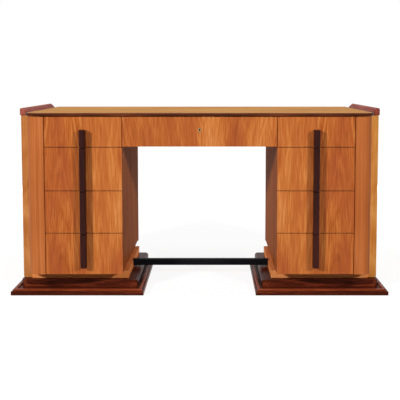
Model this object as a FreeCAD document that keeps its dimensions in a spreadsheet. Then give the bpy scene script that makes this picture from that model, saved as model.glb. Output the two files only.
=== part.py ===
"""Pedestal writing desk of the 1930s: two banks of four drawers, a frieze drawer with a lock, a knee hole."""
import FreeCAD
import Part
import Sketcher

import math
import os
import re

# Driving sizes in millimetres. X runs to the right, Y to the back and Z up.
# The origin is on the floor, under the middle of the desk.
SIZES = {
    # The whole desk, from the front of the plinths to the back of the writing top.
    "desk_depth": 800.0,
    # Plinths, from the floor up.
    "plinth_base_height": 17.0,
    "plinth_bead_height": 7.0,
    "plinth_block_height": 29.0,
    "plinth_projection": 50.0,
    "plinth_front_step": 82.0,
    "plinth_end_step": 24.0,
    "plinth_knee_step": 29.0,
    "plinth_bead_step": 9.0,
    "plinth_bead_width": 20.0,
    "plinth_bead_side_width": 12.0,
    "plinth_block_margin": 3.0,
    "plinth_block_knee_reach": 62.0,
    "plinth_back_setback": 183.0,
    "moulding_stop": 47.0,
    "plinth_corner_radius": 30.0,
    "plinth_block_round": 14.0,
    "plinth_block_edge": 3.0,
    "plinth_bead_round": 5.0,
    "plinth_base_round": 3.0,
    "neck_height": 32.0,
    "neck_setback": 67.0,
    "neck_knee_reach": 17.0,
    "neck_edge_round": 3.0,
    # Knee hole and the foot bar across it.
    "knee_width": 658.0,
    "bar_height": 28.0,
    "bar_rise": 8.3,
    "bar_depth": 28.0,
    "bar_setback": 266.0,
    "bar_round": 2.0,
    # Pedestal carcass.
    "inner_side_thickness": 18.0,
    "outer_side_thickness": 18.6,
    "back_thickness": 10.0,
    "back_overhang": 40.0,
    "dust_board_thickness": 18.0,
    "dust_board_rise": 8.0,
    "guide_thickness": 12.0,
    "stile_width": 38.0,
    "corner_radius": 34.0,
    "post_land": 3.4,
    "lower_edge_round": 10.0,
    "slab_thickness": 39.0,
    "slab_front_setback": 73.0,
    "slab_back_setback": 45.0,
    "slab_edge_round": 3.0,
    # Writing top and the rails at its ends.
    "sub_top_thickness": 20.0,
    "top_thickness": 12.0,
    "top_front_overhang": 12.0,
    "top_front_radius": 55.0,
    "top_back_radius": 20.0,
    "top_edge_round": 3.0,
    "edge_band_width": 8.0,
    "rail_width": 32.0,
    "rail_overhang": 4.0,
    "rail_end_overhang": 5.0,
    "rail_rise": 18.0,
    "rail_crown_width": 14.0,
    "rail_outer_round": 7.0,
    "rail_inner_round": 6.0,
    "rail_end_round": 3.0,
    # Drawer fronts, whose heights grow from the bottom up.
    "front_width": 328.5,
    "front_thickness": 20.0,
    "front_lip": 8.0,
    "front_gap": 3.0,
    "front_back_gap": 1.0,
    "front_top_gap": 1.5,
    "bottom_pitch": 179.0,
    "lower_pitch": 182.5,
    "upper_pitch": 186.3,
    "top_pitch": 132.1,
    "centre_front_lift": 3.0,
    # Drawer boxes.
    "box_length": 600.0,
    "centre_box_length": 530.0,
    "box_side_thickness": 10.0,
    "box_back_thickness": 8.0,
    "box_floor_thickness": 5.0,
    "box_floor_rise": 6.0,
    "box_groove_depth": 4.0,
    "tail_length": 8.0,
    "box_back_drop": 10.0,
    "box_headroom": 10.0,
    "box_side_play": 1.0,
    "box_run_gap": 0.3,
    # Runners of the frieze drawer and the apron behind it.
    "runner_width": 28.0,
    "runner_foot_width": 44.0,
    "runner_foot_thickness": 9.0,
    "runner_height": 62.0,
    "apron_thickness": 18.0,
    # Bar pulls, one length for each drawer.
    "pull_width": 24.0,
    "pull_projection": 36.0,
    "pull_gap": 0.5,
    "pull_foot_inset": 33.0,
    "pull_head_inset": 56.0,
    "pull_round": 5.0,
    # Lock of the frieze drawer.
    "lock_width": 44.0,
    "lock_depth": 12.0,
    "lock_height": 66.0,
    "lock_top_gap": 2.0,
    "bolt_width": 14.0,
    "bolt_depth": 5.0,
    "bolt_height": 40.0,
    "bolt_gap": 0.3,
    "bolt_throw": 9.0,
    "bolt_sink": 0.5,
    "strike_width": 44.0,
    "strike_depth": 11.0,
    "strike_thickness": 1.5,
    "keyhole_drop": 56.0,
    "keyhole_radius": 3.2,
    "keyhole_slot_width": 3.4,
    "keyhole_slot_length": 9.0,
    "escutcheon_width": 14.0,
    "escutcheon_height": 21.0,
    "escutcheon_thickness": 1.2,
    # How far a cutting shape runs past what it cuts.
    "overrun": 2.0,
}

# Places worked out from the sizes.
PLACES = {
    "desk_front": "-desk_depth / 2",
    "desk_back": "desk_depth / 2",
    "face": "desk_front + plinth_projection",
    "front_rear": "face + front_thickness",
    "lip_rear": "face + front_lip",
    "carcass_front": "lip_rear + front_back_gap",
    "carcass_back": "desk_back - back_overhang",
    "panel_back": "carcass_back - back_thickness",
    "post_back": "face + corner_radius + post_land",
    "side_inner": "outer_face - outer_side_thickness",
    "floor_head": "carcass_foot + dust_board_thickness",
    "plinth_back": "desk_back - plinth_back_setback",
    "moulding_back": "plinth_back - moulding_stop",
    "block_front": "desk_front + plinth_front_step",
    "bead_front": "desk_front + plinth_bead_step",
    "neck_front": "face + neck_setback",
    "bar_front": "face + bar_setback",
    "top_front": "face - top_front_overhang",
    "slab_front": "face + slab_front_setback",
    "slab_back": "carcass_back - slab_back_setback",
    "bead_foot": "plinth_base_height",
    "bead_head": "bead_foot + plinth_bead_height",
    "block_foot": "bead_foot",
    "neck_foot": "block_foot + plinth_block_height",
    "bar_foot": "neck_foot + bar_rise",
    "carcass_foot": "neck_foot + neck_height",
    "lower_line": "carcass_foot + bottom_pitch",
    "upper_line": "lower_line + lower_pitch",
    "top_line": "upper_line + upper_pitch",
    "front_head": "top_line + top_pitch",
    "top_foot": "front_head + front_top_gap",
    "top_head": "top_foot + top_thickness",
    "sub_top_foot": "top_foot - sub_top_thickness",
    "rail_head": "top_head + rail_rise",
    "knee_half": "knee_width / 2",
    "bank_inner": "knee_half + inner_side_thickness",
    "front_inner": "knee_half + front_gap / 2",
    "front_outer": "front_inner + front_width",
    "front_middle": "front_inner + front_width / 2",
    "post_inner": "front_outer + front_gap",
    "outer_face": "post_inner + stile_width + corner_radius",
    "slab_outer": "outer_face + slab_thickness",
    "rail_outer": "slab_outer + rail_overhang",
    "rail_inner": "rail_outer - rail_width",
    "block_outer": "slab_outer + plinth_block_margin",
    "block_inner": "knee_half - plinth_block_knee_reach",
    "base_outer": "block_outer + plinth_end_step",
    "base_inner": "block_inner - plinth_knee_step",
    "bead_inner": "base_inner + plinth_bead_step",
    "bead_outer": "base_outer - plinth_bead_step",
    "neck_inner": "knee_half - neck_knee_reach",
    "box_inner": "bank_inner + box_side_play",
    "box_outer": "front_outer - box_side_play",
    "centre_line": "top_line + centre_front_lift",
    "centre_front_half": "knee_half - front_gap / 2",
    "centre_run": "centre_line + runner_foot_thickness",
    "centre_box_half": "knee_half - runner_width - box_side_play",
    "tail_tip": "front_rear - tail_length",
    "lock_head": "sub_top_foot - lock_top_gap",
    "lock_middle": "front_rear + lock_depth / 2",
    "bolt_head": "lock_head - bolt_sink",
    "bolt_seat": "bolt_head - bolt_height",
    "keyhole_height": "front_head - keyhole_drop",
}

UPRIGHT_OVAL = FreeCAD.Rotation(
    FreeCAD.Vector(0, 0, 1), FreeCAD.Vector(-1, 0, 0), FreeCAD.Vector(0, -1, 0), "ZXY",
)
FACING_BACK = FreeCAD.Rotation(FreeCAD.Vector(1, 0, 0), -90)
OPPOSITE = {"XMin": "XMax", "XMax": "XMin", "YMin": "YMax", "YMax": "YMin", "ZMin": "ZMax", "ZMax": "ZMin"}
TOUCH = 0.01
# Dovetails: how many a side has, and how much of their spacing a tail takes at its root and at its tip.
SHALLOW_TAILS = 3
DEEP_TAILS = 4
TAIL_ROOT_SHARE = 0.56
TAIL_TIP_SHARE = 0.78
HALF_SHARE = 0.5

doc = FreeCAD.newDocument("pedestal_desk")
sheet = doc.addObject("Spreadsheet::Sheet", "Sizes")
for row, (alias, size) in enumerate(SIZES.items(), 1):
    sheet.set(f"A{row}", alias)
    sheet.set(f"B{row}", str(size))
    sheet.setAlias(f"B{row}", alias)
doc.recompute()


def expand(text):
    """Turn names of places and sizes into an expression on the sheet's cells."""
    def swap(found):
        word = found.group(0)
        if word in PLACES:
            return f"({expand(PLACES[word])})"
        if word in SIZES:
            return f"Sizes.{word}"
        raise KeyError(word)
    return re.sub(r"[a-z]\w*", swap, text)


def tie(thing, path, text):
    """Bind one property of an object to the sheet."""
    thing.setExpression(path, expand(text))


def board(name, x_span, y_span, z_span):
    """A plain board between two places along each axis."""
    box = doc.addObject("Part::Box", name)
    sides = zip("xyz", ("Length", "Width", "Height"), (x_span, y_span, z_span))
    for axis, side, (low, high) in sides:
        tie(box, side, f"({high}) - ({low})")
        tie(box, f"Placement.Base.{axis}", low)
    return box


def prism(body, role, corners, low, high):
    """Pad a straight-sided outline, drawn in one of the body's own planes, between two places."""
    plane = next(part for part in body.Origin.OriginFeatures if part.Role == role)
    sketch = body.newObject("Sketcher::SketchObject", f"{body.Name}_outline")
    sketch.AttachmentSupport = [(plane, "")]
    sketch.MapMode = "FlatFace"
    start = f"-({high})" if role == "XZ_Plane" else low
    tie(sketch, "AttachmentOffset.Base.z", start)
    count = len(corners)
    turns = [2 * math.pi * index / count for index in range(count)]
    points = [FreeCAD.Vector(math.cos(turn), math.sin(turn), 0) for turn in turns]
    for index, point in enumerate(points):
        sketch.addGeometry(Part.LineSegment(point, points[(index + 1) % count]), False)
    for index in range(count):
        sketch.addConstraint(Sketcher.Constraint("Coincident", index, 2, (index + 1) % count, 1))
    for index, corner in enumerate(corners):
        for kind, axis, text in zip(("DistanceX", "DistanceY"), "xy", corner):
            start_value = getattr(points[index], axis)
            number = sketch.addConstraint(Sketcher.Constraint(kind, -1, 1, index, 1, start_value))
            sketch.renameConstraint(number, f"corner_{index}_{axis}")
            tie(sketch, f"Constraints.corner_{index}_{axis}", text)
    pad = body.newObject("PartDesign::Pad", f"{body.Name}_pad")
    pad.Profile = sketch
    tie(pad, "Length", f"({high}) - ({low})")
    return pad


def new_body(name):
    """An empty body with its own label."""
    return doc.addObject("PartDesign::Body", name)


def rectangle(x_span, y_span):
    """The four corners between two places along each axis."""
    (left, right), (near, far) = x_span, y_span
    return [(left, near), (right, near), (right, far), (left, far)]


def edges_on(shape, sides):
    """Names of the edges that lie wholly on the given sides of the shape's box."""
    box = shape.BoundBox
    names = []
    for number, edge in enumerate(shape.Edges, 1):
        reach = edge.BoundBox
        gaps = [getattr(reach, OPPOSITE[side]) - getattr(box, side) for side in sides]
        if all(abs(gap) < TOUCH for gap in gaps):
            names.append(f"Edge{number}")
    return names


def round_edges(body, radius, *groups, skip=()):
    """Round the body's edges that lie on each group of sides, apart from those on the skipped sides."""
    doc.recompute()
    base = body.Tip
    names = []
    left_out = edges_on(base.Shape, skip) if skip else []
    for sides in groups:
        names += [name for name in edges_on(base.Shape, sides) if name not in names + left_out]
    fillet = body.newObject("PartDesign::Fillet", f"{body.Name}_round")
    fillet.Base = (base, names)
    tie(fillet, "Radius", radius)
    return fillet


def join(kind, name, pieces):
    """Group or cut finished shapes."""
    made = doc.addObject(kind, name)
    if kind == "Part::Compound":
        made.Links = pieces
    else:
        made.Base, made.Tool = pieces
    return made


def mirror(source, name):
    """The same piece on the other side of the desk's middle."""
    twin = doc.addObject("Part::Mirroring", name)
    twin.Source = source
    twin.Normal = FreeCAD.Vector(1, 0, 0)
    return twin


def plinth_base():
    """Lower plinth: a base layer with a bead round it, stopped short of the core that runs on behind."""
    body = new_body("right_plinth_base")
    base = rectangle(("base_inner", "base_outer"), ("desk_front", "moulding_back"))
    prism(body, "XY_Plane", base, "0", "bead_foot")
    round_edges(body, "plinth_base_round", ("ZMax",), skip=("ZMax", "YMax"))
    bead = [
        ("bead_inner", "bead_front"),
        ("bead_outer", "bead_front"),
        ("bead_outer", "moulding_back"),
        ("bead_outer - plinth_bead_side_width", "moulding_back"),
        ("bead_outer - plinth_bead_side_width", "bead_front + plinth_bead_width"),
        ("bead_inner + plinth_bead_side_width", "bead_front + plinth_bead_width"),
        ("bead_inner + plinth_bead_side_width", "moulding_back"),
        ("bead_inner", "moulding_back"),
    ]
    prism(body, "XY_Plane", bead, "bead_foot", "bead_head")
    round_edges(body, "plinth_bead_round", ("ZMax",), skip=("ZMax", "YMax"))
    core = rectangle(("block_inner", "block_outer"), ("block_front", "plinth_back"))
    prism(body, "XY_Plane", core, "0", "block_foot")
    return body


def plinth_block():
    """Upper plinth: a block with one round corner, rolled over along the knee hole."""
    body = new_body("right_plinth_block")
    block = rectangle(("block_inner", "block_outer"), ("block_front", "plinth_back"))
    prism(body, "XY_Plane", block, "block_foot", "neck_foot")
    round_edges(body, "plinth_corner_radius", ("XMax", "YMin"))
    round_edges(body, "plinth_block_edge", ("YMin", "ZMax"))
    round_edges(body, "plinth_block_round", ("XMin", "ZMax"))
    return body


def base_neck():
    """Block between the plinth and the pedestal, set well back under the drawers."""
    body = new_body("right_base_neck")
    neck = rectangle(("neck_inner", "outer_face"), ("neck_front", "plinth_back"))
    prism(body, "XY_Plane", neck, "neck_foot", "carcass_foot")
    round_edges(body, "neck_edge_round", ("XMax", "YMin"))
    return body


def corner_post():
    """Stile beside the drawers, rounded into the end of the pedestal."""
    body = new_body("right_corner_post")
    post = rectangle(("post_inner", "outer_face"), ("face", "post_back"))
    prism(body, "XY_Plane", post, "carcass_foot", "top_foot")
    round_edges(body, "corner_radius", ("XMax", "YMin"))
    return body


def inner_side():
    """Side of the pedestal towards the knee hole, with a round lower edge."""
    body = new_body("right_inner_side")
    side = rectangle(("knee_half", "bank_inner"), ("carcass_foot", "sub_top_foot"))
    prism(body, "XZ_Plane", side, "carcass_front", "panel_back")
    round_edges(body, "lower_edge_round", ("XMin", "ZMin"))
    return body


def end_slab():
    """Thick slab on the end of the pedestal, standing on the plinth and carrying the rail."""
    body = new_body("right_end_slab")
    slab = rectangle(("outer_face", "slab_outer"), ("neck_foot", "top_foot"))
    prism(body, "XZ_Plane", slab, "slab_front", "slab_back")
    round_edges(body, "lower_edge_round", ("XMax", "ZMin"))
    round_edges(body, "slab_edge_round", ("XMax", "YMin"), ("XMax", "YMax"))
    return body


def end_rail():
    """Raised rail along the end of the top: upright outside, crowned, and sloping inside to the top."""
    body = new_body("right_end_rail")
    outline = [
        ("rail_inner", "top_foot"),
        ("rail_outer", "top_foot"),
        ("rail_outer", "rail_head"),
        ("rail_outer - rail_crown_width", "rail_head"),
        ("rail_inner", "top_head"),
    ]
    prism(body, "XZ_Plane", outline, "slab_front - rail_end_overhang", "slab_back + rail_end_overhang")
    round_edges(body, "rail_outer_round", ("XMax", "ZMax"))
    round_edges(body, "rail_inner_round", ("ZMax",), skip=("ZMax", "YMax"))
    round_edges(body, "rail_end_round", ("YMin",), ("YMax",), skip=("ZMin",))
    return body


def rounded_top(name, inset):
    """A board of the writing top's outline, drawn in from its edge by the inset."""
    body = new_body(name)
    outline = rectangle(
        (f"-(rail_inner - {inset})", f"rail_inner - {inset}"),
        (f"top_front + {inset}", f"desk_back - {inset}"),
    )
    prism(body, "XY_Plane", outline, "top_foot", "top_head")
    round_edges(body, f"top_front_radius - {inset}", ("XMax", "YMin"), ("XMin", "YMin"))
    round_edges(body, f"top_back_radius - {inset}", ("XMax", "YMax"), ("XMin", "YMax"))
    return body


def writing_top():
    """Veneered top board inside a hardwood edge band."""
    panel = rounded_top("top_board", "edge_band_width")
    blank = rounded_top("top_blank", "0")
    round_edges(blank, "top_edge_round", ("ZMax",))
    return [panel, join("Part::Cut", "top_edge_band", (blank, panel))]


def sub_top():
    """Board under the top that ties the pedestals, notched round the posts, with the lock's mortise."""
    body = new_body("sub_top_blank")
    right = [
        ("post_inner", "carcass_front"),
        ("post_inner", "post_back"),
        ("outer_face", "post_back"),
        ("outer_face", "carcass_back"),
    ]
    left = [(f"-({x})", y) for x, y in reversed(right)]
    prism(body, "XY_Plane", right + left, "sub_top_foot", "top_foot")
    strike = ("strike_width", "strike_depth", "strike_thickness")
    mortise = ("bolt_width + 2 * bolt_gap", "bolt_depth + 2 * bolt_gap", "bolt_throw + strike_thickness")
    made = body
    for name, (width, depth, height) in (("strike_recess", strike), ("bolt_mortise", mortise)):
        cutter = board(
            name,
            (f"-({width}) / 2", f"({width}) / 2"),
            (f"lock_middle - ({depth}) / 2", f"lock_middle + ({depth}) / 2"),
            ("sub_top_foot - overrun", f"sub_top_foot + {height}"),
        )
        made = join("Part::Cut", f"sub_top_{name}", (made, cutter))
    made.Label = "sub_top"
    plate = board(
        "strike_blank",
        ("-strike_width / 2", "strike_width / 2"),
        ("lock_middle - strike_depth / 2", "lock_middle + strike_depth / 2"),
        ("sub_top_foot", "sub_top_foot + strike_thickness"),
    )
    return [made, join("Part::Cut", "lock_strike_plate", (plate, doc.bolt_mortise))]


def drawer_wall(name, x_span, back, floor, head, tails):
    """Side of a drawer box, with a row of dovetails along its front edge."""
    outline = [(back, floor), (back, head), ("front_rear", head)]
    middles = [(count + HALF_SHARE) / tails for count in reversed(range(tails))]
    for middle in middles:
        root = HALF_SHARE * TAIL_ROOT_SHARE / tails
        tip = HALF_SHARE * TAIL_TIP_SHARE / tails
        levels = [f"{floor} + ({head} - ({floor})) * {middle + reach}" for reach in (root, tip, -tip, -root)]
        outline += zip(("front_rear", "tail_tip", "tail_tip", "front_rear"), levels)
    outline.append(("front_rear", floor))
    body = new_body(name)
    prism(body, "YZ_Plane", outline, *x_span)
    return body


def drawer(name, lip_spans, block_z, box_x, back, box_z, tails):
    """Front and box of a drawer: rebated front, dovetailed sides, and a floor held in grooves."""
    (inner, outer), (floor, head) = box_x, box_z
    wall_inner = f"{inner} + box_side_thickness"
    wall_outer = f"{outer} - box_side_thickness"
    panel = f"{floor} + box_floor_rise"
    panel_head = f"{panel} + box_floor_thickness"
    floor_panel = board(
        f"{name}_floor",
        (f"{wall_inner} - box_groove_depth", f"{wall_outer} + box_groove_depth"),
        ("front_rear - box_groove_depth", back),
        (panel, panel_head),
    )
    blanks = [
        drawer_wall(f"{name}_inner_blank", (inner, wall_inner), back, floor, head, tails),
        drawer_wall(f"{name}_outer_blank", (wall_outer, outer), back, floor, head, tails),
    ]
    walls = [join("Part::Cut", f"{blank.Name}_grooved", (blank, floor_panel)) for blank in blanks]
    rear = board(
        f"{name}_rear",
        (wall_inner, wall_outer),
        (f"{back} - box_back_thickness", back),
        (panel_head, f"{head} - box_back_drop"),
    )
    face_board = new_body(f"{name}_front_blank")
    prism(face_board, "XZ_Plane", rectangle(*lip_spans), "face", "lip_rear")
    prism(face_board, "XZ_Plane", rectangle(box_x, block_z), "lip_rear", "front_rear")
    sockets = join("Part::Compound", f"{name}_sockets", blanks + [floor_panel])
    return [
        join("Part::Cut", f"{name}_front", (face_board, sockets)),
        join("Part::Compound", f"{name}_box", walls + [rear, floor_panel]),
    ]


def drawer_pull(name, foot, head):
    """One length of the bar pull, rounded along its front edges."""
    body = new_body(name)
    bar = rectangle(
        ("front_middle - pull_width / 2", "front_middle + pull_width / 2"),
        ("face - pull_projection", "face"),
    )
    prism(body, "XY_Plane", bar, foot, head)
    round_edges(body, "pull_round", ("XMin", "YMin"), ("XMax", "YMin"))
    return body


def drawer_bank():
    """Four drawers of the right pedestal, from the bottom up."""
    lines = ("carcass_foot", "lower_line", "upper_line", "top_line", "front_head")
    made = []
    for index, level in enumerate(("bottom", "lower", "upper", "top")):
        line, next_line = lines[index], lines[index + 1]
        name = f"right_{level}_drawer"
        foot = f"{line} + front_gap / 2"
        head = f"{next_line} - front_gap / 2"
        run = f"{line} + dust_board_rise"
        ceiling = f"{next_line} + dust_board_rise - dust_board_thickness"
        if level == "bottom":
            run = "floor_head"
        if level == "top":
            ceiling = "sub_top_foot"
        box_z = (f"{run} + box_run_gap", f"{ceiling} - box_headroom")
        made += drawer(
            name, (("front_inner", "front_outer"), (foot, head)), box_z,
            ("box_inner", "box_outer"), "front_rear + box_length", box_z,
            SHALLOW_TAILS if level == "top" else DEEP_TAILS,
        )
        pull_foot = f"{foot} + pull_foot_inset" if level == "bottom" else foot
        pull_head = f"{head} - pull_head_inset" if level == "top" else f"{head} - pull_gap"
        made.append(drawer_pull(f"{name}_pull", pull_foot, pull_head))
    return made


def floor_board():
    """Floor of the pedestal, notched round the post."""
    body = new_body("right_floor_board")
    outline = [
        ("bank_inner", "carcass_front"),
        ("front_outer", "carcass_front"),
        ("front_outer", "post_back"),
        ("side_inner", "post_back"),
        ("side_inner", "panel_back"),
        ("bank_inner", "panel_back"),
    ]
    prism(body, "XY_Plane", outline, "carcass_foot", "floor_head")
    return body


def dust_boards():
    """Boards that part the drawers and carry them, with the pedestal's floor."""
    inside = ("bank_inner", "front_outer")
    depth = ("carcass_front", "panel_back")
    boards = [floor_board()]
    for line in ("lower_line", "upper_line", "top_line"):
        head = f"{line} + dust_board_rise"
        boards.append(board(f"right_{line}_board", inside, depth, (f"{head} - dust_board_thickness", head)))
    return join("Part::Compound", "right_dust_boards", boards)


def centre_runner():
    """Runner of the frieze drawer: a guide against the pedestal with a foot under the drawer."""
    body = new_body("right_centre_runner")
    outline = [
        ("knee_half - runner_foot_width", "centre_line"),
        ("knee_half", "centre_line"),
        ("knee_half", "centre_line + runner_height"),
        ("knee_half - runner_width", "centre_line + runner_height"),
        ("knee_half - runner_width", "centre_run"),
        ("knee_half - runner_foot_width", "centre_run"),
    ]
    prism(body, "XZ_Plane", outline, "carcass_front", "carcass_back - apron_thickness")
    return body


def keyhole():
    """Cutting shape of the keyhole: a round eye over a slot."""
    eye = doc.addObject("Part::Cylinder", "keyhole_eye")
    eye.Placement.Rotation = FACING_BACK
    near = "face - escutcheon_thickness - overrun"
    far = "front_rear + overrun"
    tie(eye, "Radius", "keyhole_radius")
    tie(eye, "Height", f"({far}) - ({near})")
    tie(eye, "Placement.Base.y", near)
    tie(eye, "Placement.Base.z", "keyhole_height")
    slot = board(
        "keyhole_slot",
        ("-keyhole_slot_width / 2", "keyhole_slot_width / 2"),
        (near, far),
        ("keyhole_height - keyhole_slot_length", "keyhole_height"),
    )
    return join("Part::Fuse", "keyhole_cutter", (eye, slot))


def escutcheon(cutter):
    """Oval brass plate round the keyhole."""
    oval = doc.addObject("Part::Ellipse", "escutcheon_oval")
    oval.Placement.Rotation = UPRIGHT_OVAL
    tie(oval, "MajorRadius", "escutcheon_height / 2")
    tie(oval, "MinorRadius", "escutcheon_width / 2")
    tie(oval, "Placement.Base.y", "face")
    tie(oval, "Placement.Base.z", "keyhole_height - keyhole_slot_length / 2 + keyhole_radius / 2")
    plate = doc.addObject("Part::Extrusion", "escutcheon_plate")
    plate.Base = oval
    plate.DirMode = "Normal"
    plate.Solid = True
    plate.Reversed = True
    tie(plate, "LengthFwd", "escutcheon_thickness")
    return join("Part::Cut", "centre_drawer_escutcheon", (plate, cutter))


def centre_drawer():
    """Frieze drawer over the knee hole, with its lock."""
    cutter = keyhole()
    box_x = ("-centre_box_half", "centre_box_half")
    box_z = ("centre_run + box_run_gap", "sub_top_foot - box_headroom")
    lip = (("-centre_front_half", "centre_front_half"), ("centre_line", "front_head - front_gap / 2"))
    blank, box = drawer(
        "centre_drawer", lip, (box_z[0], "lock_head"),
        box_x, "front_rear + centre_box_length", box_z, SHALLOW_TAILS,
    )
    blank.Label = "centre_drawer_blank"
    front = join("Part::Cut", "centre_drawer_keyed_front", (blank, cutter))
    front.Label = "centre_drawer_front"
    case = board(
        "lock_blank",
        ("-lock_width / 2", "lock_width / 2"),
        ("front_rear", "front_rear + lock_depth"),
        ("lock_head - lock_height", "lock_head"),
    )
    way = board(
        "bolt_way",
        ("-bolt_width / 2 - bolt_gap", "bolt_width / 2 + bolt_gap"),
        ("lock_middle - bolt_depth / 2 - bolt_gap", "lock_middle + bolt_depth / 2 + bolt_gap"),
        ("bolt_seat - bolt_gap", "lock_head + overrun"),
    )
    bolt = board(
        "lock_bolt",
        ("-bolt_width / 2", "bolt_width / 2"),
        ("lock_middle - bolt_depth / 2", "lock_middle + bolt_depth / 2"),
        ("bolt_seat", "bolt_head"),
    )
    return [front, box, join("Part::Cut", "lock_case", (case, way)), bolt, escutcheon(cutter)]


def stretcher_bar():
    """Foot bar across the knee hole, let in between the necks just above the plinths."""
    body = new_body("stretcher_bar")
    section = rectangle(("bar_front", "bar_front + bar_depth"), ("bar_foot", "bar_foot + bar_height"))
    prism(body, "YZ_Plane", section, "-neck_inner", "neck_inner")
    round_edges(body, "bar_round", ("YMin", "ZMax"), ("YMax", "ZMax"), ("YMin", "ZMin"), ("YMax", "ZMin"))
    return body


def plain_panels():
    """Flat panels of the right pedestal."""
    return [
        board(
            "right_outer_side", ("side_inner", "outer_face"),
            ("post_back", "panel_back"), ("carcass_foot", "sub_top_foot"),
        ),
        board(
            "right_back_panel", ("knee_half", "outer_face"),
            ("panel_back", "carcass_back"), ("carcass_foot", "sub_top_foot"),
        ),
        board(
            "right_guide_panel", ("front_outer", "front_outer + guide_thickness"),
            ("post_back", "panel_back"), ("floor_head", "sub_top_foot"),
        ),
    ]


apron = board(
    "knee_back_apron", ("-knee_half", "knee_half"),
    ("carcass_back - apron_thickness", "carcass_back"), ("centre_line", "sub_top_foot"),
)
middle_pieces = writing_top() + sub_top() + [apron, stretcher_bar()] + centre_drawer()
right_pieces = [plinth_base(), plinth_block(), base_neck(), corner_post(), inner_side()]
right_pieces += [end_slab(), end_rail()] + plain_panels() + [dust_boards(), centre_runner()] + drawer_bank()
doc.recompute()
left_pieces = [mirror(piece, piece.Label.replace("right_", "left_", 1)) for piece in right_pieces]
doc.recompute()

pieces = middle_pieces + right_pieces + left_pieces
for thing in doc.Objects:
    if "Invalid" in thing.State or "Error" in thing.State:
        raise RuntimeError(f"{thing.Label} did not build: {thing.State}")
for piece in pieces:
    if piece.Shape.isNull() or not piece.Shape.isValid() or not piece.Shape.Solids:
        raise RuntimeError(f"{piece.Label} has no valid solid")

os.makedirs("parts", exist_ok=True)
for piece in pieces:
    piece.Shape.exportStep(f"parts/{piece.Label}.step")
print(f"{len(pieces)} pieces written")
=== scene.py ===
"""Pedestal writing desk of the 1930s in figured walnut and rosewood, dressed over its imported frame."""

from dataclasses import dataclass, field, replace
from enum import Enum
import logging
import math

import bpy
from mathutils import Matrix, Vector


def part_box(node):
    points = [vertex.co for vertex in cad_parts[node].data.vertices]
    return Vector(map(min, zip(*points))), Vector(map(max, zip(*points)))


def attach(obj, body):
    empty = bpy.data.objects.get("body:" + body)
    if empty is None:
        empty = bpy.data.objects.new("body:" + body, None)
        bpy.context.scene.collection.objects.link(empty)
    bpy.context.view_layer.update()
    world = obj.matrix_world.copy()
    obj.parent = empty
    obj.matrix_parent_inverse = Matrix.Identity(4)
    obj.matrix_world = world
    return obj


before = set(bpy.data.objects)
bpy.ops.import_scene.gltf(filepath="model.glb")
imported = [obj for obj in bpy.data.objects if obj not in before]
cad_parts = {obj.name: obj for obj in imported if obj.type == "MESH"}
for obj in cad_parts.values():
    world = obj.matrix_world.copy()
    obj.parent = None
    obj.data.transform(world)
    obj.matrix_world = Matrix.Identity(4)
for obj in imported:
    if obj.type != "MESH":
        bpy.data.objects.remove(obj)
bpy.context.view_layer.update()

logging.basicConfig(level=logging.INFO, format="%(message)s")
log = logging.getLogger("desk")

Tree = bpy.types.NodeTree
Socket = bpy.types.NodeSocket
Feeds = dict[str | int, object]
Point = tuple[float, float, float]

MM = 0.001
LEVELS = ("bottom", "lower", "upper", "top")
WHITE = (1, 1, 1, 1)
RIGHT_ANGLE = 90.0
# Ways that a screw or pin can face.
TO_FRONT = (0, -1, 0)
TO_BACK = (0, 1, 0)
TO_FLOOR = (0, 0, -1)
# Places read from the frame are rounded to a hundredth of a millimetre.
PLACES = 2
# Farther out in millimetres than any piece of the desk, for a side where a moulding doesn't turn.
FAR = 2000.0
# The floor lies this far under the plinths.
FLOOR_DROP = 0.2 * MM
# Curve of sRGB: its largest value, the end and slope of its straight foot, its offset and its power.
SRGB_FULL = 255
SRGB_FOOT_END = 0.04045
SRGB_FOOT_SLOPE = 12.92
SRGB_OFFSET = 0.055
SRGB_POWER = 2.4
# How far the roughness of a polished board strays either way, and the depth and strength of its pores.
ROUGH_SPREAD = 0.06
PORE_DEPTH = 0.12 * MM
PORE_STRENGTH = 0.25
# Shade halfway from dark to pale, which growth bands, streaks and clouds stray from either way.
MIDDLE_SHADE = 0.5
# Shades of the clouds at which a blush starts and is full.
BLUSH_START = 0.6
BLUSH_FULL = 0.35
# Length of a cloud, and width and length of the drift that bends the bands, in widths of a cloud.
CLOUD_LENGTH = 4.0
DRIFT_WIDTH = 0.6
DRIFT_LENGTH = 3.5
# How far a seed moves a board's pattern across, through and along the grain.
SEED_STEPS = (1.0, 1.7, 0.6)
# Ever finer layers of noise in growth bands, in streaks and clouds, and in tarnish, rubbing and ridges.
BAND_LAYERS = 2.0
GRAIN_LAYERS = 3.0
TARNISH_LAYERS = 4.0
RUB_LAYERS = 1.0
RIDGE_LAYERS = 3.0
# Angles in degrees: an edge shallower than the first is shaded as a curve, one steeper than the second
# is softened.
CURVE_ANGLE = 48.0
EDGE_ANGLE = 50.0
# Width in millimetres of an edge that is left crisp, and facets across a softened one.
CRISP = 0.0
EDGE_FACETS = 2
# Corners of triangles this close are the same corner.
WELD_REACH = 0.01 * MM
# A slotted head narrows to this share of its radius. Its cutter is this many radii long, and is centred
# on the head's top, so it is twice as high as the slot is deep.
CROWN_SHARE = 0.82
CUTTER_LENGTH = 2.4
CUTTER_HEIGHT = 2.0
# Facets round a slotted head, and round and up a domed one.
HEAD_FACETS = 24
DOME_FACETS = 16
DOME_RINGS = 8
# Numbers of the sockets that share a name: numbers and colours that are mixed, and a random number.
NUMBER_A, NUMBER_B = 2, 3
COLOUR_A, COLOUR_B = 6, 7
MIXED_COLOUR = 2
RANDOM_LOW, RANDOM_HIGH = 2, 3
RANDOM_SEED = 8
RANDOM_NUMBER = 1


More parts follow.
